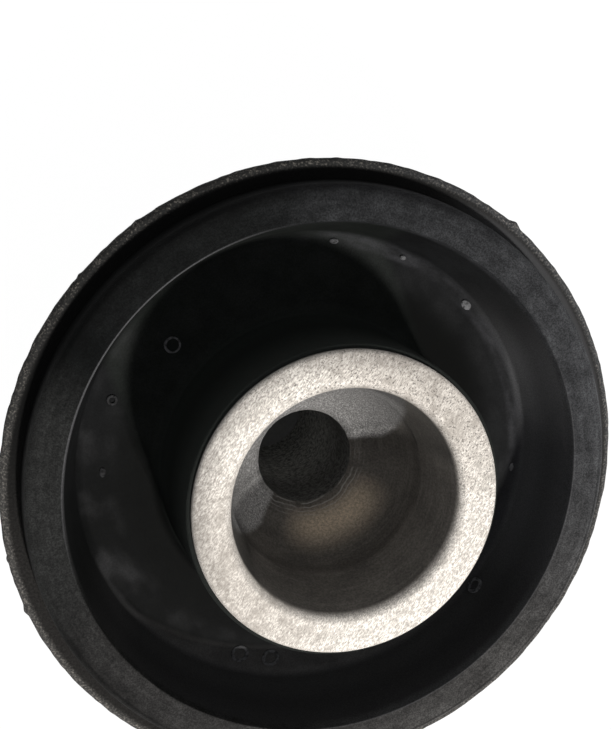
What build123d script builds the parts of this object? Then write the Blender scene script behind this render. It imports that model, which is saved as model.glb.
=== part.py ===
from build123d import *
import os
from math import acos, degrees

# A flanged rubber-metal bush, in millimetres. The axis of the bush is +Z. The origin is on that axis
# in the lower end face of the inner sleeve, and the flanged end is uppermost.

# Inner sleeve: a forged steel core with a cupped upper end and a bolt hole through its foot
sleeve_diameter = 40.0
sleeve_length = 50.0
face_width = 4.85
cup_wall_depth = 9.7
cup_wall_taper = 1.9
bolt_hole_diameter = 13.5
sleeve_edge_round = 0.5
mouth_edge_round = 1.2
cup_wall_foot_round = 6.0
hole_rim_round = 1.0
hole_foot_chamfer = 1.2

# Flanged tube: pressed from one steel sheet
tube_diameter = 74.0
tube_length = 28.0
sheet_thickness = 2.0
flange_width = 5.5
flange_bend_radius = 1.5
flange_edge_round = 0.8
tube_lead_in = 0.8
tube_below_face = 11.0

# Rubber body: bonded to both steel pieces, with a raised pad on the flange and a dish inside it
skin_thickness = 0.6
skin_setback = 0.9
skin_draft = 0.5
skin_edge_round = 0.4
bare_rim_width = 2.7
pad_side_run = 0.3
pad_width = 4.65
pad_height = 3.5
pad_edge_round = 1.0
dish_wall_run = 2.65
dish_depth = 8.3
dish_round = 1.5
lower_setback = 1.0
hollow_depth = 5.0
hollow_side_run = 2.5
hollow_round = 2.5

# Radii that follow from the sizes above
sleeve_radius = sleeve_diameter / 2
mouth_radius = sleeve_radius - face_width
bowl_radius = mouth_radius - cup_wall_taper
hole_radius = bolt_hole_diameter / 2
tube_radius = tube_diameter / 2
tube_bore_radius = tube_radius - sheet_thickness
flange_radius = tube_radius + flange_width
outer_bend_radius = flange_bend_radius + sheet_thickness
skin_radius = sleeve_radius + skin_thickness
skin_foot_radius = skin_radius + skin_draft
pad_foot_radius = flange_radius - bare_rim_width
pad_outer_radius = pad_foot_radius - pad_side_run
pad_inner_radius = pad_outer_radius - pad_width
dish_foot_radius = pad_inner_radius - dish_wall_run
hollow_outer_radius = tube_bore_radius - hollow_side_run
hollow_inner_radius = skin_radius + hollow_side_run
dish_floor_width = dish_foot_radius - skin_foot_radius
hollow_floor_width = hollow_outer_radius - hollow_inner_radius

# Heights above the sleeve's foot that follow from the sizes above
bowl_z = sleeve_length - cup_wall_depth
flange_top_z = sleeve_length - tube_below_face
flange_seat_z = flange_top_z - sheet_thickness
bend_foot_z = flange_top_z - outer_bend_radius
tube_foot_z = flange_top_z - tube_length
skin_top_z = sleeve_length - skin_setback
pad_top_z = flange_top_z + pad_height
dish_floor_z = flange_top_z - dish_depth
rubber_foot_z = tube_foot_z + lower_setback
hollow_top_z = rubber_foot_z + hollow_depth


def corner(section, x, z):
    """The vertex of a half section that is nearest to a radius and a height."""
    return section.vertices().sort_by_distance((x, z))[0]


# Inner sleeve
# The cup's wall narrows to a round bottom, which is a ball's surface cut through by the bolt hole.
with BuildPart() as inner_sleeve:
    with BuildSketch(Plane.XZ) as sleeve_section:
        with BuildLine():
            foot = Line((hole_radius, 0), (sleeve_radius, 0))
            side = Line(foot @ 1, (sleeve_radius, sleeve_length))
            face = Line(side @ 1, (mouth_radius, sleeve_length))
            cup = Line(face @ 1, (bowl_radius, bowl_z))
            bowl = CenterArc((0, bowl_z), bowl_radius, 0, -degrees(acos(hole_radius / bowl_radius)))
            Line(bowl @ 1, foot @ 0)
        make_face()
        fillet(corner(sleeve_section, sleeve_radius, sleeve_length), sleeve_edge_round)
        fillet(corner(sleeve_section, sleeve_radius, 0), sleeve_edge_round)
        fillet(corner(sleeve_section, mouth_radius, sleeve_length), mouth_edge_round)
        fillet(corner(sleeve_section, bowl_radius, bowl_z), cup_wall_foot_round)
        fillet(corner(sleeve_section, hole_radius, (bowl @ 1).Y), hole_rim_round)
        chamfer(corner(sleeve_section, hole_radius, 0), hole_foot_chamfer)
    revolve(axis=Axis.Z)
inner_sleeve.part.label = "inner_sleeve"

# Flanged tube
with BuildPart() as flanged_tube:
    with BuildSketch(Plane.XZ) as tube_section:
        with BuildLine():
            bore = Line((tube_bore_radius, tube_foot_z), (tube_bore_radius, bend_foot_z))
            outer_bend = RadiusArc(
                bore @ 1, (tube_bore_radius + outer_bend_radius, flange_top_z), outer_bend_radius
            )
            top = Line(outer_bend @ 1, (flange_radius, flange_top_z))
            rim = Line(top @ 1, (flange_radius, flange_seat_z))
            seat = Line(rim @ 1, (tube_radius + flange_bend_radius, flange_seat_z))
            inner_bend = RadiusArc(seat @ 1, (tube_radius, bend_foot_z), -flange_bend_radius)
            wall = Line(inner_bend @ 1, (tube_radius, tube_foot_z))
            Line(wall @ 1, bore @ 0)
        make_face()
        fillet(corner(tube_section, flange_radius, flange_top_z), flange_edge_round)
        fillet(corner(tube_section, flange_radius, flange_seat_z), flange_edge_round)
        chamfer(corner(tube_section, tube_radius, tube_foot_z), tube_lead_in)
    revolve(axis=Axis.Z)
flanged_tube.part.label = "flanged_tube"

# Rubber body
# Its section follows the sleeve inside and the tube and flange outside. The dish lies between the skin
# on the sleeve and the pad on the flange, and a shallow hollow runs round the lower end.
with BuildPart() as rubber_body:
    with BuildSketch(Plane.XZ) as rubber_section:
        with BuildLine():
            sleeve_bond = Line((sleeve_radius, skin_setback), (sleeve_radius, skin_top_z))
            skin_edge = Line(sleeve_bond @ 1, (skin_radius, skin_top_z))
            skin = Line(skin_edge @ 1, (skin_foot_radius, dish_floor_z))
            floor = Line(skin @ 1, (dish_foot_radius, dish_floor_z))
            dish_wall = Line(floor @ 1, (pad_inner_radius, pad_top_z))
            pad_top = Line(dish_wall @ 1, (pad_outer_radius, pad_top_z))
            pad_side = Line(pad_top @ 1, (pad_foot_radius, flange_top_z))
            flange_bond = Line(pad_side @ 1, (tube_bore_radius + outer_bend_radius, flange_top_z))
            bend_bond = RadiusArc(flange_bond @ 1, (tube_bore_radius, bend_foot_z), -outer_bend_radius)
            tube_bond = Line(bend_bond @ 1, (tube_bore_radius, rubber_foot_z))
            hollow = Polyline(
                tube_bond @ 1,
                (hollow_outer_radius, hollow_top_z),
                (hollow_inner_radius, hollow_top_z),
                (skin_radius, rubber_foot_z),
            )
            lower_skin = Line(hollow @ 1, (skin_radius, skin_setback))
            Line(lower_skin @ 1, sleeve_bond @ 0)
        make_face()
        fillet(corner(rubber_section, skin_radius, skin_top_z), skin_edge_round)
        fillet(corner(rubber_section, skin_radius, skin_setback), skin_edge_round)
        for radius in (skin_foot_radius, dish_foot_radius):
            fillet(corner(rubber_section, radius, dish_floor_z), min(dish_round, 0.45 * dish_floor_width))
        for radius in (hollow_inner_radius, hollow_outer_radius):
            fillet(corner(rubber_section, radius, hollow_top_z), min(hollow_round, 0.45 * hollow_floor_width))
        fillet(corner(rubber_section, pad_outer_radius, pad_top_z), pad_edge_round)
    revolve(axis=Axis.Z)
rubber_body.part.label = "rubber_body"

os.makedirs("parts", exist_ok=True)
export_step(inner_sleeve.part, "parts/inner_sleeve.step")
export_step(flanged_tube.part, "parts/flanged_tube.step")
export_step(rubber_body.part, "parts/rubber_body.step")
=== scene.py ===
import math

import bpy
import numpy as np
from mathutils import Matrix, Vector


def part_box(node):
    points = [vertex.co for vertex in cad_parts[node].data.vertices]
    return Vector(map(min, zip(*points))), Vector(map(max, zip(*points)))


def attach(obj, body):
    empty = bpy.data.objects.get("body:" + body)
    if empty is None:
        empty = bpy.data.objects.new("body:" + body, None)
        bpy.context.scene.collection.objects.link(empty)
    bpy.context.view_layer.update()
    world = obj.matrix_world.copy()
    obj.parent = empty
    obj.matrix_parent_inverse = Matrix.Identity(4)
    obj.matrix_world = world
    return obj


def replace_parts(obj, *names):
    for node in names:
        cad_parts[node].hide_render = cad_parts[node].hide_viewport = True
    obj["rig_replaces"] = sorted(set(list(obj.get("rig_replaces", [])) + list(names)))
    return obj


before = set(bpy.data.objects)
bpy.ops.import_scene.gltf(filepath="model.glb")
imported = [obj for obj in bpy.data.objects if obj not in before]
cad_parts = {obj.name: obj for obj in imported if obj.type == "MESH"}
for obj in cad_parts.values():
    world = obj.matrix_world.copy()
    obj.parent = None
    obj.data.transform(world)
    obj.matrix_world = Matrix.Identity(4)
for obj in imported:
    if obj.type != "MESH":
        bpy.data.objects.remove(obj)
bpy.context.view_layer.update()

# A flanged rubber-metal bush standing on the foot of its inner sleeve, seen from above its cupped end.
# Unless a comment says otherwise, lengths are millimetres, as in the drawing of the part, azimuths are
# degrees round its axis from +X, and colours are linear red, green and blue. Meshes are made in metres.

MM = 0.001


def node_box(node):
    """Largest radius, lowest height and highest height of a CAD node."""
    low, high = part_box(node)
    return high.x / MM, low.z / MM, high.z / MM


SLEEVE_RADIUS, SLEEVE_FOOT, SLEEVE_TOP = node_box("inner_sleeve")
FLANGE_RADIUS, TUBE_FOOT, FLANGE_TOP = node_box("flanged_tube")
PAD_FOOT_RADIUS, SKIN_FOOT, SKIN_TOP = node_box("rubber_body")

# Inner sleeve
FACE_WIDTH = 4.85
CUP_WALL_DEPTH = 9.7
CUP_WALL_TAPER = 1.9
HOLE_RADIUS = 6.75
HOLE_CHAMFER = 1.2
SLEEVE_ROUND = 0.5
MOUTH_ROUND = 1.2
CUP_FOOT_ROUND = 6.0
HOLE_RIM_ROUND = 0.6
HOLE_RIM_DROP = 0.4

# Flanged tube
SHEET = 2.0
FLANGE_WIDTH = 5.5
BEND = 1.5
RIM_ROUND = 0.8
LEAD_IN = 0.8

# Rubber body
SKIN = 0.6
SKIN_ROUND = 0.4
SKIN_DRAFT = 0.5
PAD_SIDE_RUN = 0.3
PAD_WIDTH = 4.65
PAD_HEIGHT = 3.5
PAD_ROUND = 1.0
PAD_LIP_ROUND = 0.2
DISH_WALL_RUN = 2.65
DISH_DEPTH = 8.3
DISH_ROUND = 1.5
HOLLOW_SETBACK = 1.0
HOLLOW_DEPTH = 5.0
HOLLOW_SIDE_RUN = 2.5
HOLLOW_ROUND = 2.5

# Radii and heights that follow from the sizes above
MOUTH_RADIUS = SLEEVE_RADIUS - FACE_WIDTH
BOWL_RADIUS = MOUTH_RADIUS - CUP_WALL_TAPER
BOWL_Z = SLEEVE_TOP - CUP_WALL_DEPTH
HOLE_RIM_Z = BOWL_Z - math.sqrt(BOWL_RADIUS ** 2 - HOLE_RADIUS ** 2)
TUBE_RADIUS = FLANGE_RADIUS - FLANGE_WIDTH
TUBE_BORE = TUBE_RADIUS - SHEET
FLANGE_SEAT = FLANGE_TOP - SHEET
SKIN_RADIUS = SLEEVE_RADIUS + SKIN
PAD_TOP = FLANGE_TOP + PAD_HEIGHT
PAD_OUTER = PAD_FOOT_RADIUS - PAD_SIDE_RUN
PAD_INNER = PAD_OUTER - PAD_WIDTH
DISH_FLOOR = FLANGE_TOP - DISH_DEPTH
DISH_FOOT = PAD_INNER - DISH_WALL_RUN
RUBBER_FOOT = TUBE_FOOT + HOLLOW_SETBACK
HOLLOW_TOP = TUBE_FOOT + HOLLOW_SETBACK + HOLLOW_DEPTH

# The lamp's direction in degrees. The materials know it too, because they paint light and shade by it: in the
# cup, on the dish's floor where the sleeve and the pad shade it, and on the dish's wall.
LAMP_AZIMUTH = -65
LAMP_ELEVATION = 55.5

rng = np.random.default_rng(8)


# Turned meshes

# The most facets of a rounded corner, for each radian that it turns
FACETS_PER_RADIAN = 7.5
# Edges sharper than this many degrees stay sharp in a smooth mesh
SHARP_EDGE = 35


def rounded(outline, facet=0.12):
    """A closed outline of (radius, height, corner rounding) as points, with an arc at each rounded corner."""
    points = []
    count = len(outline)
    for i in range(count):
        here = np.array(outline[i][:2], float)
        before = np.array(outline[i - 1][:2], float) - here
        after = np.array(outline[(i + 1) % count][:2], float) - here
        radius = outline[i][2]
        if not radius:
            points.append(here)
            continue
        before /= np.linalg.norm(before)
        after /= np.linalg.norm(after)
        half = math.acos(np.clip(before @ after, -1, 1)) / 2
        middle = before + after
        centre = here + middle / np.linalg.norm(middle) * radius / math.sin(half)
        first = here + before * radius / math.tan(half) - centre
        last = here + after * radius / math.tan(half) - centre
        start, stop = math.atan2(first[1], first[0]), math.atan2(last[1], last[0])
        sweep = (stop - start + math.pi) % (2 * math.pi) - math.pi
        steps = max(4, round(abs(sweep) * min(radius / facet, FACETS_PER_RADIAN)))
        for t in np.linspace(start, start + sweep, steps + 1):
            points.append(centre + radius * np.array([math.cos(t), math.sin(t)]))
    return np.array(points)


def spaced(points, step):
    """The same outline with more points on its long spans, at most step(radius, height) apart."""
    out = []
    for a, b in zip(points, np.roll(points, -1, axis=0)):
        length = np.linalg.norm(b - a)
        count = max(1, math.ceil(length / step(*(a + b) / 2)))
        out.extend(a + (b - a) * k / count for k in range(count))
    return np.array(out)


def turned(name, points, turns, shape, node):
    """The outline turned about the axis, at that many angles. shape(radius, height, angle) lifts the skin."""
    ahead, behind = np.roll(points, -1, axis=0), np.roll(points, 1, axis=0)
    along = ahead - behind
    along /= np.linalg.norm(along, axis=1)[:, None]
    outward = np.stack([along[:, 1], -along[:, 0]], axis=1)
    angle = np.arange(turns) * 2 * math.pi / turns
    radius, height = (np.broadcast_to(points[:, k], (turns, len(points))) for k in (0, 1))
    lift = shape(radius, height, angle[:, None])
    radius = radius + lift * outward[:, 0]
    height = height + lift * outward[:, 1]
    co = np.stack([radius * np.cos(angle)[:, None], radius * np.sin(angle)[:, None], height], axis=2) * MM
    i, j = np.meshgrid(np.arange(len(points)), np.arange(turns))
    i2, j2 = (i + 1) % len(points), (j + 1) % turns
    n = len(points)
    quads = np.stack([j * n + i, j2 * n + i, j2 * n + i2, j * n + i2], axis=2).reshape(-1, 4)
    mesh = bpy.data.meshes.new(name)
    mesh.from_pydata(co.reshape(-1, 3).tolist(), [], quads.tolist())
    mesh.polygons.foreach_set("use_smooth", np.ones(len(mesh.polygons), bool))
    mesh.set_sharp_from_angle(angle=math.radians(SHARP_EDGE))
    piece = bpy.data.objects.new(name, mesh)
    bpy.context.scene.collection.objects.link(piece)
    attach(piece, "root")
    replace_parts(piece, node)
    return piece


def ripple(angle, knots):
    """Smooth random values round the axis, from -1 to 1, with that many knots."""
    values = rng.uniform(-1, 1, knots)
    at = (angle / (2 * math.pi) * knots) % knots
    low = np.floor(at).astype(int)
    t = at - low
    t = t * t * (3 - 2 * t)
    return values[low % knots] * (1 - t) + values[(low + 1) % knots] * t


def near(value, centre, width):
    """1 at centre, falling to 0 at width to each side."""
    return np.clip(1 - np.abs(value - centre) / width, 0, 1)


# The longest spans of the outlines: where nothing shows, on the tube, on the rubber, and on the shaped steel
HIDDEN_STEP = 3.0
TUBE_STEP = 2.0
RUBBER_STEP = 0.6
CUP_STEP = 0.3
RIM_STEP = 0.3
DRILLED_STEP = 0.14


# Inner sleeve
# The bowl's arc starts and stops these many radians inside its two corners, which are rounded.
BOWL_STEPS = 60
BOWL_FIRST = 0.07
BOWL_LAST = 0.06

# Rings of the drill round the hole, the hole's torn rim, and the ridge at the foot of the cup's wall
DRILLED_RADIUS = 9.6
DRILL_PITCH = 0.55
DRILL_RISE = 0.025
TORN_WIDTH = 0.9
TORN_DEPTH = 0.05
RIDGE_WIDTH = 0.35
RIDGE_RISE = 0.05


def sleeve_outline():
    """The cup's wall, its bowl and the bolt hole, from the sleeve's foot round to the foot again."""
    last = math.acos(HOLE_RADIUS / BOWL_RADIUS) - BOWL_LAST
    bowl = [(BOWL_RADIUS * math.cos(t), BOWL_Z - BOWL_RADIUS * math.sin(t), 0)
            for t in np.linspace(BOWL_FIRST, last, BOWL_STEPS)]
    return rounded([
        (HOLE_RADIUS + HOLE_CHAMFER, SLEEVE_FOOT, 0),
        (SLEEVE_RADIUS, SLEEVE_FOOT, SLEEVE_ROUND),
        (SLEEVE_RADIUS, SLEEVE_TOP, SLEEVE_ROUND),
        (MOUTH_RADIUS, SLEEVE_TOP, MOUTH_ROUND),
        (BOWL_RADIUS, BOWL_Z, CUP_FOOT_ROUND),
        *bowl,
        (HOLE_RADIUS, HOLE_RIM_Z - HOLE_RIM_DROP, HOLE_RIM_ROUND),
        (HOLE_RADIUS, SLEEVE_FOOT + HOLE_CHAMFER, 0),
    ])


def sleeve_step(radius, height):
    """The longest span of the sleeve's outline at a place."""
    if height < HOLE_RIM_Z - 2 or (radius > SLEEVE_RADIUS - 0.1 and height < SLEEVE_TOP - 3):
        return HIDDEN_STEP
    return DRILLED_STEP if radius < DRILLED_RADIUS + 0.2 else CUP_STEP


def sleeve_shape(radius, height, angle):
    """Drill rings and a torn rim round the hole, and a turned ridge where the cup's wall ends."""
    in_cup = (height > HOLE_RIM_Z - 1.5) & (radius < MOUTH_RADIUS - 0.5) & (height < SLEEVE_TOP - 3)
    close = np.clip((DRILLED_RADIUS - radius) / 2.2, 0, 1) * in_cup
    rings = np.sin(radius * 2 * math.pi / DRILL_PITCH + 0.8 * ripple(angle, 7))
    rings = rings * (0.6 + 0.4 * ripple(angle, 23))
    torn = near(radius, HOLE_RADIUS + 0.3, TORN_WIDTH) * in_cup * ripple(angle, 90)
    ridge = near(height, BOWL_Z, RIDGE_WIDTH) * in_cup
    return DRILL_RISE * rings * close - TORN_DEPTH * torn + RIDGE_RISE * ridge


# Flanged tube
# Burrs on the flange's rim: azimuth, rise, and half width in degrees
BURRS = ((55.0, 0.45, 1.4), (193.5, 0.22, 0.7), (203.5, 0.25, 1.1), (128.0, 0.15, 1.0), (141.0, 0.18, 0.8))
# The rim's dents, and how far in from the rim they reach
DENT_DEPTH = 0.09
DENTED_WIDTH = 1.2


def tube_outline():
    """One sheet, from the tube's foot up its wall, out round the flange and back down the bore."""
    return rounded([
        (TUBE_BORE, TUBE_FOOT, 0),
        (TUBE_RADIUS - LEAD_IN, TUBE_FOOT, 0),
        (TUBE_RADIUS, TUBE_FOOT + LEAD_IN, 0),
        (TUBE_RADIUS, FLANGE_SEAT, BEND),
        (FLANGE_RADIUS, FLANGE_SEAT, RIM_ROUND),
        (FLANGE_RADIUS, FLANGE_TOP, RIM_ROUND),
        (TUBE_BORE, FLANGE_TOP, BEND + SHEET),
    ])


def tube_step(radius, height):
    """The longest span of the tube's outline at a place."""
    return RIM_STEP if radius > FLANGE_RADIUS - 2.8 else TUBE_STEP


def flange_shape(radius, height, angle):
    """Small dents and rolled metal along the flange's rim."""
    rim = np.clip((radius - (FLANGE_RADIUS - DENTED_WIDTH)) / 1.0, 0, 1)
    dents = 0.5 * ripple(angle, 300) + 0.5 * ripple(angle, 110)
    burrs = sum(rise * near(angle, math.radians(at), math.radians(half)) for at, rise, half in BURRS)
    return rim * (-DENT_DEPTH + DENT_DEPTH * dents + burrs)


# Rubber body
# The moulded skin is that uneven, and lies that much inside its outline.
UNEVENNESS = 0.02


def rubber_outline():
    """From the sleeve's foot, round the lower hollow, up the tube, over the pad and dish and up the skin."""
    return rounded([
        (SLEEVE_RADIUS, SKIN_FOOT, 0),
        (SKIN_RADIUS, SKIN_FOOT, SKIN_ROUND),
        (SKIN_RADIUS, RUBBER_FOOT, 0),
        (SKIN_RADIUS + HOLLOW_SIDE_RUN, HOLLOW_TOP, HOLLOW_ROUND),
        (TUBE_BORE - HOLLOW_SIDE_RUN, HOLLOW_TOP, HOLLOW_ROUND),
        (TUBE_BORE, RUBBER_FOOT, 0),
        (TUBE_BORE, FLANGE_TOP, BEND + SHEET),
        (PAD_FOOT_RADIUS, FLANGE_TOP, 0),
        (PAD_OUTER, PAD_TOP, PAD_ROUND),
        (PAD_INNER, PAD_TOP, PAD_LIP_ROUND),
        (DISH_FOOT, DISH_FLOOR, DISH_ROUND),
        (SKIN_RADIUS + SKIN_DRAFT, DISH_FLOOR, DISH_ROUND),
        (SKIN_RADIUS, SKIN_TOP, SKIN_ROUND),
        (SLEEVE_RADIUS, SKIN_TOP, 0),
    ])


def rubber_step(radius, height):
    """The longest span of the rubber's outline at a place."""
    return RUBBER_STEP if radius > SLEEVE_RADIUS + 0.3 and height > DISH_FLOOR - 1 else HIDDEN_STEP


def rubber_shape(radius, height, angle):
    """The slight unevenness of a moulded skin."""
    free = (radius > SLEEVE_RADIUS + 0.3) & (radius < PAD_FOOT_RADIUS + 0.1) & (height > DISH_FLOOR - 1)
    return free * (UNEVENNESS * ripple(angle, 40) - UNEVENNESS)


inner_sleeve = turned("sleeve_steel", spaced(sleeve_outline(), sleeve_step), 512, sleeve_shape,
                      "inner_sleeve")
flanged_tube = turned("tube_steel", spaced(tube_outline(), tube_step), 1024, flange_shape,
                      "flanged_tube")
rubber_body = turned("rubber_moulding", spaced(rubber_outline(), rubber_step), 384, rubber_shape,
                     "rubber_body")


# Marks of the mould
# Small rings and spots on the rubber, each at an azimuth, with its radius from the axis, its height, the lean
# of its surface towards the axis in degrees, and its own radius and rise. Their roots are under the surface.
MARK_TURNS = 48
MARK_ROOT = -0.1
RING_ROUND = 0.12
WORN_OFF = 0.125


def mark(name, section, azimuth, distance, height, lean, stretch=1.0, left=None):
    """A small section turned about the normal of the rubber's surface at one place.

    Where an azimuth is left, the half of the ring away from it is worn down.
    """
    def worn_down(r, z, angle):
        if left is None:
            return 0 * r
        return 0 * r - WORN_OFF * np.clip(0.5 - 1.5 * np.cos(angle - math.radians(left - azimuth)), 0, 1)

    piece = turned(name, section, MARK_TURNS, worn_down, "rubber_body")
    a = math.radians(azimuth)
    spot = Vector((distance * math.cos(a), distance * math.sin(a), height)) * MM
    turn = Matrix.Rotation(a, 4, "Z") @ Matrix.Rotation(-math.radians(lean), 4, "Y")
    piece.data.transform(Matrix.Translation(spot) @ turn @ Matrix.Diagonal((1, stretch, 1, 1)))
    return piece


def ring_section(radius, width=0.5, rise=0.16):
    """A ring's section, with its two upper corners rounded."""
    inner, outer = radius - width / 2, radius + width / 2
    return rounded([(inner, MARK_ROOT, 0), (outer, MARK_ROOT, 0),
                    (outer, rise, RING_ROUND), (inner, rise, RING_ROUND)], 0.04)


def spot_section(radius, rise=0.2):
    """A flat dome's section, from just beside its middle."""
    dome = [(radius * math.cos(t), rise * math.sin(t), 0) for t in np.linspace(0, math.pi / 2 - 0.02, 9)]
    return rounded([(0.001, MARK_ROOT, 0), (radius, MARK_ROOT, 0), *dome])


WALL_LEAN = 90 - math.degrees(math.atan2(DISH_WALL_RUN, DISH_DEPTH + PAD_HEIGHT))
marks = [
    mark("mould_ring_1", ring_section(1.0, 0.35), 140.3, 25.8, DISH_FLOOR, 0, left=175),
    mark("mould_ring_2", ring_section(0.55, 0.4), 162, 29.1, DISH_FLOOR, 0),
    mark("mould_ring_3", ring_section(1.05), 253.5, 29.9, DISH_FLOOR, 0),
    mark("mould_ring_4", ring_section(1.05), 262.5, 29.9, DISH_FLOOR, 0),
    mark("mould_ring_5", ring_section(1.0), 323.7, 32.5, DISH_FLOOR + 1.9, WALL_LEAN),
    mark("mould_spot_1", spot_section(0.6), 46, 31.2, DISH_FLOOR + 0.12, 18, 1.4),
    mark("mould_spot_2", spot_section(0.35), 68, 31.2, DISH_FLOOR + 0.12, 18, 1.3),
    mark("mould_spot_3", spot_section(0.4), 87, 31.0, DISH_FLOOR + 0.05, 10, 1.6),
    mark("mould_spot_4", spot_section(0.45), 182, 28.7, DISH_FLOOR, 0, 1.6),
    mark("mould_spot_5", spot_section(0.35), 357, 31.2, DISH_FLOOR + 0.12, 18, 1.8),
]
FAINT_MARKS = ("mould_ring_2", "mould_spot_4")
SCUFFED_HIGHLIT_MARKS = ("mould_ring_5", "mould_spot_1")


# Materials

class Nodes:
    """A material's nodes, added by short calls. Its shader is a Principled BSDF."""

    def __init__(self, name):
        self.material = bpy.data.materials.new(name)
        self.material.use_nodes = True
        self.tree = self.material.node_tree
        self.shader = self.tree.nodes["Principled BSDF"]
        self.place = self.tree.nodes.new("ShaderNodeTexCoord").outputs["Object"]
        split = self.add("ShaderNodeSeparateXYZ", Vector=self.place)
        x, y, self.z = (self.math("DIVIDE", socket, MM) for socket in split.outputs)
        self.radius = self.math("SQRT", self.math("ADD", self.product(x, x), self.product(y, y)))
        self.angle = self.math("ARCTAN2", y, x)

    def add(self, kind, **values):
        """A node with its inputs set or linked by name."""
        node = self.tree.nodes.new(kind)
        for key, value in values.items():
            self.set(node, key, value)
        return node

    def set(self, node, key, value):
        """Links an input of a node to a socket, or sets it to a constant."""
        socket = node.inputs[key]
        if isinstance(value, bpy.types.NodeSocket):
            self.tree.links.new(value, socket)
        else:
            socket.default_value = value

    def math(self, operation, a, b=0.0):
        """The result of one math node."""
        node = self.tree.nodes.new("ShaderNodeMath")
        node.operation = operation
        self.set(node, 0, a)
        self.set(node, 1, b)
        return node.outputs[0]

    def product(self, first, *others):
        """The product of several numbers."""
        for factor in others:
            first = self.math("MULTIPLY", first, factor)
        return first

    def noise(self, size, detail=3.0, roughness=0.55, drawn_out=1.0, azimuth=0.0):
        """Noise from 0 to 1 whose features are about size wide, and longer than that towards an azimuth."""
        mapping = self.add("ShaderNodeMapping", Vector=self.place)
        mapping.vector_type = "TEXTURE"
        mapping.inputs["Scale"].default_value = (drawn_out, 1, 1)
        mapping.inputs["Rotation"].default_value = (0, 0, math.radians(azimuth))
        node = self.add("ShaderNodeTexNoise", Vector=mapping.outputs[0], Detail=detail, Roughness=roughness)
        node.inputs["Scale"].default_value = 1 / (size * MM)
        return node.outputs["Fac"]

    def streaks(self, across, size, around):
        """Noise drawn out along circles: size wide in the direction of across, and 1/around radians long."""
        place = self.add("ShaderNodeCombineXYZ", X=self.product(self.math("COSINE", self.angle), around),
                         Y=self.product(self.math("SINE", self.angle), around),
                         Z=self.math("DIVIDE", across, size))
        node = self.add("ShaderNodeTexNoise", Vector=place.outputs[0], Detail=3.0, Roughness=0.6, Scale=1.0)
        return node.outputs["Fac"]

    def band(self, value, low, high):
        """0 below low and 1 above high, smooth between them. With low above high it falls instead."""
        node = self.tree.nodes.new("ShaderNodeMapRange")
        node.interpolation_type = "SMOOTHSTEP"
        self.set(node, "Value", value)
        node.inputs["From Min"].default_value = low
        node.inputs["From Max"].default_value = high
        return node.outputs[0]

    def within(self, value, low, high, soft):
        """1 from low to high, falling to 0 over a soft distance on each side."""
        return self.product(self.band(value, low - soft, low), self.band(value, high + soft, high))

    def facing(self, azimuth):
        """Cosine of the angle round the axis from an azimuth."""
        return self.math("COSINE", self.math("SUBTRACT", self.angle, math.radians(azimuth)))

    def towards(self, azimuth, low, high):
        """1 on the side of the axis that faces an azimuth and 0 on the other, by the cosine between them."""
        return self.band(self.facing(azimuth), low, high)

    def mix(self, factor, a, b):
        """A colour that goes from a to b. A mix node's sockets 6 and 7 are its two colours."""
        node = self.tree.nodes.new("ShaderNodeMix")
        node.data_type = "RGBA"
        self.set(node, "Factor", factor)
        for key, value in ((6, a), (7, b)):
            self.set(node, key, value if isinstance(value, bpy.types.NodeSocket) else (*value, 1))
        return node.outputs[2]

    def scaled(self, colour, factor):
        """A colour made lighter or darker."""
        node = self.add("ShaderNodeVectorMath")
        node.operation = "SCALE"
        self.set(node, "Vector", colour)
        self.set(node, "Scale", factor)
        return node.outputs[0]

    def blend(self, factor, a, b):
        """A number that goes from a to b. A mix node's sockets 2 and 3 are its two numbers."""
        node = self.tree.nodes.new("ShaderNodeMix")
        self.set(node, 0, factor)
        self.set(node, 2, a)
        self.set(node, 3, b)
        return node.outputs[0]

    def bump(self, height, depth, below=None):
        """A bump of that depth for a height from 0 to 1."""
        node = self.add("ShaderNodeBump", Height=height, Distance=depth * MM, Strength=1.0)
        if below is not None:
            self.set(node, "Normal", below)
        return node.outputs[0]

    def finish(self, colour, roughness, normal, metallic, specular):
        """The material, with its shader's inputs set or linked."""
        self.set(self.shader, "Base Color", colour)
        self.set(self.shader, "Roughness", roughness)
        self.set(self.shader, "Normal", normal)
        self.shader.inputs["Specular IOR Level"].default_value = specular
        self.set(self.shader, "Metallic", metallic)
        return self.material


def rough_patches(n):
    """Coarse specks of a drilled or shaded surface, from 0 to 1."""
    return n.band(n.noise(0.5, 4.0, 0.75), 0.35, 0.65)


# Bare steel
# The face's grain is drawn out towards this azimuth
GRAIN_AZIMUTH = 58
FACE_GRAIN = ((0.45, 0.41, 0.375), (0.96, 0.915, 0.85))
FACE_MOTTLE = (0.36, 0.335, 0.30)
FACE_OUTSIDE_SHEEN = (0.36, 0.325, 0.29)
FACE_PIT = (0.12, 0.11, 0.10)
FACE_EDGE = (0.10, 0.095, 0.09)
CUP_CLOUDS = ((0.115, 0.106, 0.095), (0.165, 0.152, 0.136))
CUP_BAND = (0.26, 0.24, 0.22)
CUP_SHADE = (0.05, 0.047, 0.043)
CUP_PAINTED_LIGHT = ((0.15, 0.147, 0.143), (0.40, 0.39, 0.385))
CUP_BOWL_SHADE = (0.08, 0.072, 0.064)
CUP_RIDGE_HIGHLIGHT = (0.30, 0.275, 0.25)
CUP_BROWN_SHEEN = (0.66, 0.545, 0.415)
CUP_ARC_HIGHLIGHT = (0.66, 0.65, 0.62)
ARC_PITCH = 0.5
HOLE_GRAIN = ((0.13, 0.13, 0.125), (0.48, 0.475, 0.455))


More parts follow.
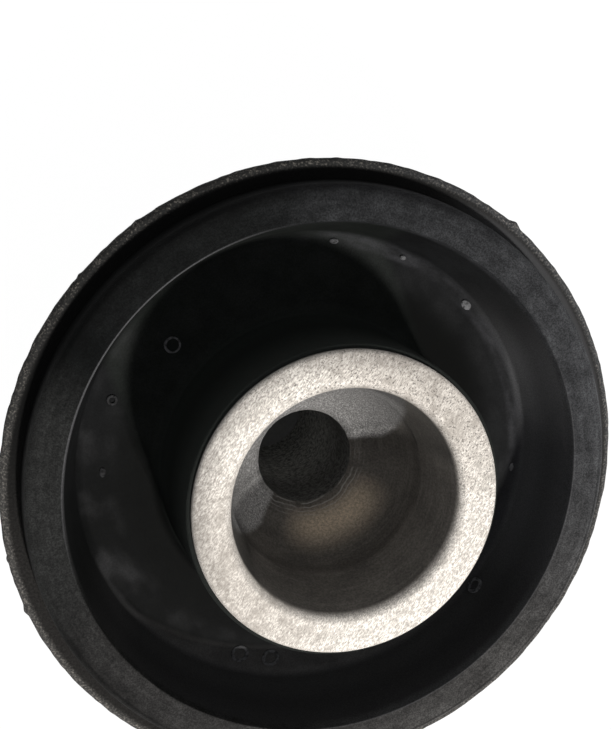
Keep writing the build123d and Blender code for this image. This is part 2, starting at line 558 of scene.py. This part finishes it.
def face_colour(n, grain):
    """Bright flecks on the faced end, duller on two sides by a painted reflection, and pitted most on one."""
    colour = n.mix(n.band(grain, 0.32, 0.68), *FACE_GRAIN)
    mottle = n.band(n.noise(1.3, 4.0, 0.65), 0.55, 0.35)
    colour = n.mix(n.product(mottle, 0.45), colour, FACE_MOTTLE)
    # Painted reflection: the turned face is painted duller on the two sides across the streak of its sheen.
    dull = n.math("MAXIMUM", n.towards(58.0, 0.5, 1.0), n.product(n.towards(215.0, 0.5, 1.0), 0.9))
    colour = n.mix(n.product(dull, n.blend(mottle, 0.45, 0.75)), colour, FACE_OUTSIDE_SHEEN)

    outer = n.product(n.band(n.radius, SLEEVE_RADIUS - 3.4, SLEEVE_RADIUS - 0.6), n.towards(135.0, -0.1, 0.7))
    colour = n.scaled(colour, n.blend(outer, 1.05, 0.66))
    pits = n.band(n.noise(0.26, 2.0, 0.7), 0.44, 0.36)
    pits = n.product(pits, n.blend(n.towards(65.0, 0.0, 0.8), 0.3, 0.85))
    colour = n.mix(pits, colour, FACE_PIT)
    edge = n.product(n.band(n.radius, SLEEVE_RADIUS - 0.6, SLEEVE_RADIUS - 0.4),
                     n.band(n.z, SLEEVE_TOP - 0.4, SLEEVE_TOP - 0.75))
    return n.mix(n.product(edge, 0.85), colour, FACE_EDGE)


def cup_colour(n, grain):
    """Grey-brown wall and bowl with turned bands, painted light and shade, and a painted brown sheen and
    highlight arcs by the hole.
    """
    clouds = n.noise(5.0, 3.0)
    colour = n.mix(n.band(clouds, 0.3, 0.7), *CUP_CLOUDS)
    bands = n.band(n.streaks(n.z, 0.8, 1.5), 0.45, 0.65)
    colour = n.mix(n.product(bands, 0.25), colour, CUP_BAND)
    shade = n.product(n.towards(120.0, -0.3, -0.1), n.band(n.z, BOWL_Z - 5, BOWL_Z + 1))
    colour = n.mix(n.product(shade, 0.7), colour, CUP_SHADE)

    # The pale side is painted light, where the lamp shines into the cup, and narrows with height. It is paler
    # where the lamp misses it, and darker towards the mouth.
    pale = n.mix(n.band(grain, 0.4, 0.7), *CUP_PAINTED_LIGHT)
    unlit = n.product(n.towards(LAMP_AZIMUTH + 180, 0.14, 0.02), n.band(n.z, BOWL_Z - 2.5, BOWL_Z - 6))
    pale = n.scaled(pale, n.blend(unlit, 1.0, 2.1))
    pale = n.scaled(pale, n.blend(n.band(n.z, BOWL_Z + 0.5, BOWL_Z + 5.5), 1.0, 0.45))
    above = n.math("MAXIMUM", n.math("SUBTRACT", n.z, HOLE_RIM_Z + 3.6), 0.0)
    side = n.math("SUBTRACT", n.facing(126.0), n.product(above, 0.045))
    colour = n.mix(n.band(side, -0.30, -0.20), colour, pale)

    # Painted shade in a band just under the top of the bowl, on the side that the lamp doesn't reach.
    bowl_shade = n.product(n.within(n.z, BOWL_Z - 2.2, BOWL_Z - 1.2, 1.2), n.towards(-75.0, 0.0, 0.7))
    colour = n.mix(n.product(bowl_shade, 0.4), colour, CUP_BOWL_SHADE)
    # A painted highlight on the turned ridge at the top of the bowl, on the side that the lamp doesn't reach.
    ridge = n.product(n.within(n.z, BOWL_Z - 0.6, BOWL_Z - 0.2, 1.0), n.towards(-78.0, 0.3, 0.9))
    colour = n.mix(n.product(ridge, n.band(clouds, 0.35, 0.6), 0.38), colour, CUP_RIDGE_HIGHLIGHT)
    # A painted brown reflection round the hole, on the side that the lamp doesn't reach.
    brown = n.product(n.band(n.radius, 12.6, 9.8), n.band(n.radius, 6.8, 9.4), n.towards(-62.0, 0.6, 1.0))
    colour = n.mix(brown, colour, CUP_BROWN_SHEEN)
    blotch = n.noise(0.32, 3.0, 0.7)
    colour = n.scaled(colour, n.blend(n.band(blotch, 0.3, 0.7), 0.72, 1.28))

    # Painted highlights: pale arcs on the drill rings round the hole, on the side that the lamp doesn't
    # reach.
    swirl = n.math("ADD", n.radius, n.product(clouds, 1.4))
    arcs = n.band(n.math("SINE", n.product(swirl, 2 * math.pi / ARC_PITCH)), 0.3, 1.0)
    arcs = n.product(arcs, n.band(n.radius, 9.4, 7.2), n.band(n.noise(2.4, 2.0), 0.38, 0.58))
    return n.mix(n.product(arcs, n.towards(-75.0, -0.2, 0.6), 0.45), colour, CUP_ARC_HIGHLIGHT)


def hole_colour(n):
    """Rough drilled wall, painted paler further down against the hole's deep shade, so that it looks evenly
    dark.
    """
    colour = n.mix(rough_patches(n), *HOLE_GRAIN)
    return n.scaled(colour, n.blend(n.band(n.z, HOLE_RIM_Z - 4, HOLE_RIM_Z - 18), 0.45, 1.9))


def blasted_steel():
    """Bare steel: a bright grainy face, a darker cup and a rough hole."""
    n = Nodes("blasted_steel")
    grain = n.noise(0.13, 2.0, 0.6, drawn_out=3.0, azimuth=GRAIN_AZIMUTH)
    inside = n.mix(n.band(n.z, HOLE_RIM_Z - 0.2, HOLE_RIM_Z - 0.8), cup_colour(n, grain), hole_colour(n))
    colour = n.mix(n.band(n.z, SLEEVE_TOP - 1.6, SLEEVE_TOP - 0.5), inside, face_colour(n, grain))
    roughness = n.blend(n.band(grain, 0.3, 0.7), 0.72, 0.6)
    normal = n.bump(grain, 0.03, n.bump(n.noise(0.8, 2.0), 0.03))
    return n.finish(colour, roughness, normal, metallic=0.25, specular=0.35)


# Coated steel
COAT_BLACK = ((0.014, 0.014, 0.0135), (0.026, 0.026, 0.0255))
COAT_DUST = ((0.066, 0.064, 0.061), (0.066, 0.067, 0.069))
COAT_THIN_DUST = (0.018, 0.017, 0.016)
COAT_PAD_SHADOW = (0.003, 0.0031, 0.003)
COAT_FILL_LIGHT = (0.052, 0.052, 0.054)
COAT_METAL = (0.25, 0.23, 0.205)


def worn_coating():
    """Thin black coating, dusty and rubbed through to grey metal in specks at the flange's rim."""
    n = Nodes("worn_coating")
    fleck = n.noise(0.3, 3.0, 0.65)
    cloud = n.noise(3.0, 3.0)
    upper = n.band(n.z, FLANGE_TOP - 0.75, FLANGE_TOP - 0.3)
    edge = n.band(n.radius, FLANGE_RADIUS - 1.4, FLANGE_RADIUS - 0.6)
    handled = n.towards(-60.0, -1.0, -0.4)
    coat = n.mix(cloud, *COAT_BLACK)
    dusty = n.mix(n.towards(60.0, -0.1, 0.9), *COAT_DUST)
    dusty = n.mix(edge, COAT_THIN_DUST, dusty)
    dusty = n.scaled(dusty, n.blend(n.band(fleck, 0.3, 0.7), 0.6, 1.4))
    coat = n.mix(n.product(upper, handled), coat, dusty)

    # The strip between the rim and the pad has painted shade on one side and painted fill light on another
    dark = n.product(n.band(n.radius, FLANGE_RADIUS - 0.8, FLANGE_RADIUS - 1.5), n.towards(125.0, 0.3, 0.85))
    coat = n.mix(n.product(dark, upper), coat, COAT_PAD_SHADOW)
    grey = n.product(n.band(n.radius, FLANGE_RADIUS - 1.0, FLANGE_RADIUS - 1.8), n.towards(28.0, 0.7, 0.95))
    coat = n.mix(n.product(grey, upper), coat, COAT_FILL_LIGHT)

    worn = n.product(edge, upper, n.band(fleck, 0.50, 0.70), n.blend(handled, 0.6, 0.8),
                     n.band(cloud, 0.2, 0.55))
    colour = n.mix(worn, coat, COAT_METAL)
    roughness = n.blend(worn, 0.8, 0.6)
    normal = n.bump(fleck, 0.08, n.bump(n.noise(1.1, 2.0), 0.06))
    return n.finish(colour, roughness, normal, metallic=n.product(worn, 0.3), specular=0.1)


# Rubber
RUBBER_BLACK = ((0.0025, 0.0027, 0.0027), (0.0055, 0.0056, 0.0058))
SKIN_BLACK = (0.016, 0.018, 0.0165)
FLOOR_INNER = ((0.0028, 0.003, 0.0028), (0.0055, 0.006, 0.0056))
FLOOR_OUTER = ((0.0075, 0.0078, 0.0082), (0.0115, 0.012, 0.0125))
FLOOR_DARK = (0.0035, 0.0037, 0.0035)
FLOOR_PAINTED_SHADOW = (0.002, 0.0022, 0.002)
FLOOR_FILL_IN_SHADE = ((0.013, 0.015, 0.0135), (0.019, 0.021, 0.0195))
FLOOR_SMEAR = (0.034, 0.034, 0.035)
FLOOR_FILL_BEHIND_PAD = ((0.036, 0.036, 0.038), (0.095, 0.092, 0.09))
WALL_DUST_AND_FILL = ((0.046, 0.0455, 0.046), (0.085, 0.085, 0.088))
FOOT_HIGHLIGHT = (0.048, 0.048, 0.052)
PAD_DUST_AND_SHEEN = ((0.0455, 0.044, 0.043), (0.0455, 0.0465, 0.0495))
PAD_CLEAN_NO_SHEEN = (0.0025, 0.003, 0.003)
PAD_CAMERA_SIDE_SHADE = (0.0055, 0.006, 0.006)
PAD_LEFT_SIDE = (0.020, 0.0205, 0.020)
PAD_LIP_HIGHLIGHT = (0.085, 0.085, 0.088)

# The side of the dish that the sleeve shades
SHADED_AZIMUTH = LAMP_AZIMUTH + 179


def behind_sleeve(n):
    """1 on the side of the dish that the sleeve keeps from the lamp."""
    aside = n.math("SINE", n.math("SUBTRACT", n.angle, math.radians(SHADED_AZIMUTH)))
    aside = n.math("ABSOLUTE", n.product(aside, n.radius))
    in_line = n.band(aside, SLEEVE_RADIUS + 1.5, SLEEVE_RADIUS - 0.5)
    return n.product(in_line, n.towards(SHADED_AZIMUTH, -0.05, 0.1))


def behind_pad(n):
    """1 where the pad's inner edge keeps the dish's floor from the lamp.

    That edge's shadow is a circle of its own radius, moved away from the lamp by the shadow's reach.
    """
    reach = (PAD_TOP - DISH_FLOOR) / math.tan(math.radians(LAMP_ELEVATION))
    across = n.math("ADD", n.product(n.radius, n.radius),
                    n.product(n.radius, n.facing(LAMP_AZIMUTH), 2 * reach))
    across = n.math("SQRT", n.math("ADD", across, reach ** 2))
    return n.band(across, PAD_INNER - 0.15, PAD_INNER + 1.4)


def on_dish_wall(n):
    """1 on the dish's wall and outside it."""
    return n.band(n.radius, DISH_FOOT - 0.8, DISH_FOOT + 0.3)


def dish_colour(n, cloud):
    """Black floor, greyer and smeared towards its wall, a wall dusty on the lamp's side, and painted light
    and shade.
    """
    patch = n.band(cloud, 0.3, 0.7)
    outer = n.mix(patch, *FLOOR_OUTER)
    # Lighter towards azimuth 0, as a painted highlight.
    outer = n.scaled(outer, n.blend(n.towards(0.0, 0.85, 1.0), 1.0, 1.35))
    colour = n.mix(n.band(n.radius, 23.0, DISH_FOOT - 1.5), n.mix(patch, *FLOOR_INNER), outer)
    colour = n.mix(n.product(n.towards(210.0, 0.6, 0.95), 0.7), colour, FLOOR_DARK)
    # A painted shadow on the lit floor beside the sleeve, towards azimuth 45.
    painted_shadow = n.product(n.towards(45.0, 0.75, 0.97), n.band(n.radius, 29.5, 24.5))
    colour = n.mix(painted_shadow, colour, FLOOR_PAINTED_SHADOW)
    # Painted fill light: the floor is paler where the sleeve shades it, and paler still by the sleeve's foot.
    shaded = n.mix(patch, *FLOOR_FILL_IN_SHADE)
    shaded = n.scaled(shaded, n.blend(n.band(n.radius, SKIN_RADIUS + 2.0, SKIN_RADIUS + 0.6), 1.0, 1.35))
    colour = n.mix(behind_sleeve(n), colour, shaded)

    low = n.band(n.z, DISH_FLOOR + 1.2, DISH_FLOOR + 0.4)
    smear = n.product(n.band(n.noise(6.0, 3.0, 0.45), 0.40, 0.70),
                      n.band(n.noise(2.6, 3.0, 0.4, drawn_out=2.5, azimuth=120), 0.25, 0.75))
    smear = n.product(smear, low, n.band(n.radius, DISH_FOOT - 6.0, DISH_FOOT - 3.0))
    smear = n.product(smear, n.blend(n.towards(212.0, 0.3, 0.95), 0.3, 1.0))
    colour = n.mix(smear, colour, FLOOR_SMEAR)
    # Painted fill light on the floor where the pad's edge shades it from the lamp.
    dust_and_painted_light = n.mix(n.towards(250.0, 0.0, 0.9), *FLOOR_FILL_BEHIND_PAD)
    dust_and_painted_light = n.scaled(dust_and_painted_light, n.blend(patch, 0.75, 1.1))
    colour = n.mix(n.product(behind_pad(n), low), colour, dust_and_painted_light)

    wall = on_dish_wall(n)
    # Painted shade and light: the wall is darker where the lamp lights it and lighter where the lamp misses
    # it.
    lit_by_lamp = n.band(n.facing(LAMP_AZIMUTH + 180), 0.5, 0.85)
    colour = n.mix(wall, colour, n.scaled(colour, n.blend(lit_by_lamp, 1.45, 0.65)))
    # Dusty, and painted with fill light: the wall on the lamp's side, which the lamp misses, most near its
    # foot.
    dust_and_painted_light = n.mix(n.towards(5.0, 0.75, 1.0), *WALL_DUST_AND_FILL)
    lower = n.band(n.z, DISH_FLOOR + 7.0, DISH_FLOOR + 2.0)
    dust_and_painted_light = n.scaled(dust_and_painted_light, n.blend(lower, 0.85, 1.4))
    colour = n.mix(n.product(wall, n.towards(-52.0, -0.35, 0.25)), colour, dust_and_painted_light)
    # A painted highlight in broken streaks along the foot of the wall.
    foot = n.within(n.radius, DISH_FOOT - 1.2, DISH_FOOT - 0.5, 1.0)
    foot = n.product(foot, n.band(n.streaks(n.radius, 3.0, 4.0), 0.30, 0.75), n.towards(30.0, 0.1, 0.7))
    return n.mix(foot, colour, FOOT_HIGHLIGHT)


def pad_colour(n, fine):
    """Dust and painted sheen on the pad, thickest away from the camera, and a painted highlight on its lip.
    """
    # Dust and painted sheen: paler towards the side of the lamp's sheen, and darker on the camera's side as
    # painted shade.
    handled = n.math("POWER", n.product(n.math("ADD", n.facing(-30.0), 1.0), 0.5), 0.65)
    dust_and_painted_light = n.mix(n.towards(55.0, -0.2, 0.9), *PAD_DUST_AND_SHEEN)
    dust_and_painted_light = n.mix(handled, PAD_CLEAN_NO_SHEEN, dust_and_painted_light)
    dust_and_painted_light = n.mix(n.towards(124.0, 0.87, 1.0), dust_and_painted_light, PAD_CAMERA_SIDE_SHADE)
    # Painted shade at the outer shoulder on the camera's side, and painted light there on the lamp's side.
    outside = n.band(n.radius, PAD_OUTER - 2.2, PAD_OUTER - 0.3)
    dust_and_painted_light = n.scaled(dust_and_painted_light, n.blend(outside, 1.0, n.blend(n.towards(-30.0, -0.5, 0.7), 0.45, 1.4)))
    scratch = n.within(n.radius, PAD_OUTER - 0.75, PAD_OUTER - 0.6, 0.2)
    dust_and_painted_light = n.scaled(dust_and_painted_light, n.blend(n.product(scratch, n.towards(-70.0, 0.0, 0.5)), 1.0, 0.55))
    dust_and_painted_light = n.scaled(dust_and_painted_light, n.blend(n.band(n.noise(3.5, 3.0, 0.5), 0.35, 0.65), 0.84, 1.14))
    dust_and_painted_light = n.mix(n.towards(183.0, 0.85, 1.0), dust_and_painted_light, PAD_LEFT_SIDE)

    streaks = n.band(n.streaks(n.radius, 0.7, 5.0), 0.35, 0.65)
    dust_and_painted_light = n.scaled(dust_and_painted_light, n.blend(streaks, 0.86, 1.14))
    dust_and_painted_light = n.scaled(dust_and_painted_light, n.blend(n.band(n.noise(1.2, 4.0, 0.65), 0.35, 0.65), 0.84, 1.16))
    dust_and_painted_light = n.scaled(dust_and_painted_light, n.blend(n.band(fine, 0.3, 0.7), 0.7, 1.3))
    # A painted highlight along the pad's inner lip, on two sides.
    worn = n.math("MAXIMUM", n.towards(150.0, 0.6, 1.0), n.product(n.towards(-30.0, 0.3, 0.9), 0.6))
    lip = n.product(n.band(n.radius, PAD_INNER + 0.25, PAD_INNER + 0.1), worn)
    return n.mix(lip, dust_and_painted_light, PAD_LIP_HIGHLIGHT)


def moulded_rubber():
    """Black rubber with a dull skin, dusty and painted with light and shade on the pad and in the dish."""
    n = Nodes("moulded_rubber")
    fine = n.noise(0.2, 3.0, 0.65)
    cloud = n.noise(4.0, 4.0, 0.6)
    in_dish = n.product(n.band(n.radius, PAD_INNER + 0.3, PAD_INNER),
                        n.band(n.z, DISH_FLOOR - 1.0, DISH_FLOOR - 0.5))
    skin = n.product(n.band(n.radius, SKIN_RADIUS + 1.0, SKIN_RADIUS + 0.5),
                     n.band(n.z, DISH_FLOOR, DISH_FLOOR + 1.5))
    pad = n.product(n.band(n.z, PAD_TOP - 3.4, PAD_TOP - 0.8),
                    n.band(n.radius, PAD_INNER - 0.4, PAD_INNER - 0.1))
    # The skin low down is painted paler where the sleeve shades the dish, as fill light.
    low_skin = n.product(n.band(n.z, DISH_FLOOR + 9, DISH_FLOOR + 2), behind_sleeve(n))
    colour = n.mix(in_dish, n.mix(cloud, *RUBBER_BLACK), dish_colour(n, cloud))
    colour = n.mix(skin, colour, n.scaled(SKIN_BLACK, n.blend(low_skin, 1.0, 2.4)))
    colour = n.mix(pad, colour, pad_colour(n, fine))
    colour = n.scaled(colour, n.blend(n.band(fine, 0.3, 0.7), 0.8, 1.2))
    roughness = n.blend(n.product(in_dish, on_dish_wall(n)), n.blend(pad, 0.7, 0.74), 0.9)
    normal = n.bump(fine, 0.02, n.bump(cloud, 0.05))
    return n.finish(colour, roughness, normal, metallic=0.0, specular=0.06)


def scuffed_rubber(name, dark, pale):
    """Rubber on the small marks of the mould, rubbed grey and painted pale as highlights, from a dark level
    to a pale one.
    """
    n = Nodes(name)
    scuff = n.band(n.noise(0.5, 3.0, 0.6), 0.3, 0.6)
    colour = n.mix(scuff, (dark, dark, dark), (pale, pale, pale * 1.04))
    return n.finish(colour, n.blend(scuff, 0.75, 0.6), n.bump(scuff, 0.02), metallic=0.0, specular=0.08)


inner_sleeve.data.materials.append(blasted_steel())
flanged_tube.data.materials.append(worn_coating())
rubber_body.data.materials.append(moulded_rubber())
# The paler marks are rubbed grey and carry painted highlights.
faint = scuffed_rubber("faint_marks", dark=0.006, pale=0.03)
rubbed = scuffed_rubber("rubbed_marks", dark=0.04, pale=0.13)
scuffed_highlit = scuffed_rubber("scuffed_marks", dark=0.04, pale=0.17)
for piece in marks:
    finish = faint if piece.name in FAINT_MARKS else scuffed_highlit if piece.name in SCUFFED_HIGHLIT_MARKS else rubbed
    piece.data.materials.append(finish)

# The hidden CAD nodes get the finish of the piece that stands for them
for piece in (inner_sleeve, flanged_tube, rubber_body):
    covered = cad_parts[piece["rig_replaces"][0]]
    covered.data.materials.clear()
    covered.data.materials.append(piece.data.materials[0])


# Camera
# Fitted to the rings of the photograph: where it stands, its line of sight, and the picture's right-hand way
LONG_SIDE = 729
FOCAL_PIXELS = 1207.0
CAMERA_SPOT = Vector((-46.17, 48.83, 186.83))
FORWARD = Vector((0.2699, -0.2107, -0.9395))
RIGHT = Vector((0.9629, 0.0590, 0.2634))

camera_data = bpy.data.cameras.new("camera")
camera_data.sensor_width = 36.0
camera_data.lens = FOCAL_PIXELS / LONG_SIDE * camera_data.sensor_width
camera_data.clip_start = 0.01
camera = bpy.data.objects.new("camera", camera_data)
bpy.context.scene.collection.objects.link(camera)
forward = FORWARD.normalized()
right = (RIGHT - RIGHT.dot(forward) * forward).normalized()
turn = Matrix((right, right.cross(forward), -forward)).transposed()
camera.matrix_world = Matrix.Translation(CAMERA_SPOT * MM) @ turn.to_4x4()
bpy.context.scene.camera = camera


# Floor, world and lamp, in metres
FLOOR_RADIUS = 2.6
BACKDROP_RADIUS = 3.2
BACKDROP_HEIGHT = 1.5
BACKDROP_SIDES = 64
BACKDROP_RINGS = 9


def backdrop():
    """A round floor whose border curves up into a wall, so that every view has the same plain background."""
    curve = BACKDROP_RADIUS - FLOOR_RADIUS
    profile = [(FLOOR_RADIUS + curve * math.sin(t), curve * (1 - math.cos(t)))
               for t in np.linspace(0, math.pi / 2, BACKDROP_RINGS)]
    profile.append((BACKDROP_RADIUS, BACKDROP_HEIGHT))
    sides = BACKDROP_SIDES
    circle = [(math.cos(2 * math.pi * k / sides), math.sin(2 * math.pi * k / sides)) for k in range(sides)]
    points = [(r * x, r * y, z) for r, z in profile for x, y in circle]
    faces = [tuple(range(sides))]
    for ring in range(len(profile) - 1):
        for k in range(sides):
            k2 = (k + 1) % sides
            inner, outer = ring * sides, (ring + 1) * sides
            faces.append((inner + k, outer + k, outer + k2, inner + k2))
    mesh = bpy.data.meshes.new("floor")
    mesh.from_pydata(points, [], faces)
    floor = bpy.data.objects.new("floor", mesh)
    bpy.context.scene.collection.objects.link(floor)
    return mesh


PAPER = (0.82, 0.82, 0.82)
PAPER_SHADE_UNDER_SLEEVE = (0.13, 0.13, 0.13)
HOLE_FLOOR_SHADE = ((0.009, 0.009, 0.009), (0.034, 0.034, 0.0325))
WHITE = (1, 1, 1)
# How much of the floor's colour is plain white, near the foot of the bush and further out
GLOW_NEAR = 0.35
GLOW_FAR = 0.94


def white_paper():
    """White to the camera and in reflections, and painted a rough dark grey shade under the sleeve, seen
    through the hole.
    """
    n = Nodes("white_paper")
    beyond = n.math("GREATER_THAN", n.radius, SLEEVE_RADIUS)
    # Under the sleeve the paper is painted dark as shade.
    n.set(n.shader, "Base Color", n.mix(beyond, PAPER_SHADE_UNDER_SLEEVE, PAPER))
    n.shader.inputs["Roughness"].default_value = 0.9
    rays = n.tree.nodes.new("ShaderNodeLightPath").outputs
    seen = n.math("MAXIMUM", rays["Is Camera Ray"],
                  n.math("MAXIMUM", rays["Is Glossy Ray"], rays["Is Transmission Ray"]))
    share = n.blend(n.band(n.radius, SLEEVE_RADIUS + 2, TUBE_RADIUS), GLOW_NEAR, GLOW_FAR)
    glow_colour = n.mix(beyond, n.mix(rough_patches(n), *HOLE_FLOOR_SHADE), WHITE)
    glow = n.add("ShaderNodeEmission", Color=glow_colour, Strength=1.05)
    layer = n.tree.nodes.new("ShaderNodeMixShader")
    n.set(layer, 0, n.product(seen, share))
    n.set(layer, 1, n.shader.outputs[0])
    n.set(layer, 2, glow.outputs[0])
    n.set(n.tree.nodes["Material Output"], "Surface", layer.outputs[0])
    return n.material


backdrop().materials.append(white_paper())

world = bpy.data.worlds.new("studio")
bpy.context.scene.world = world
world.use_nodes = True
world.node_tree.nodes["Background"].inputs["Color"].default_value = (0.97, 0.98, 1.0, 1)
world.node_tree.nodes["Background"].inputs["Strength"].default_value = 0.3

LAMP_AIM = Vector((0, 0, 0.04))


def lamp(name, azimuth, elevation, distance, size, power, colour):
    """A square lamp aimed at the bush, placed by its direction in degrees. Its power is in watts."""
    data = bpy.data.lights.new(name, "AREA")
    data.size = size
    data.energy = power
    data.color = colour
    light = bpy.data.objects.new(name, data)
    bpy.context.scene.collection.objects.link(light)
    a, e = math.radians(azimuth), math.radians(elevation)
    out = Vector((math.cos(a) * math.cos(e), math.sin(a) * math.cos(e), math.sin(e)))
    light.location = LAMP_AIM + out * distance
    light.rotation_mode = "QUATERNION"
    light.rotation_quaternion = out.to_track_quat("Z", "Y")


lamp("key", LAMP_AZIMUTH, LAMP_ELEVATION, distance=2.5, size=0.2, power=64.0, colour=(1.0, 0.98, 0.95))

view = bpy.context.scene.view_settings
view.view_transform = "Standard"
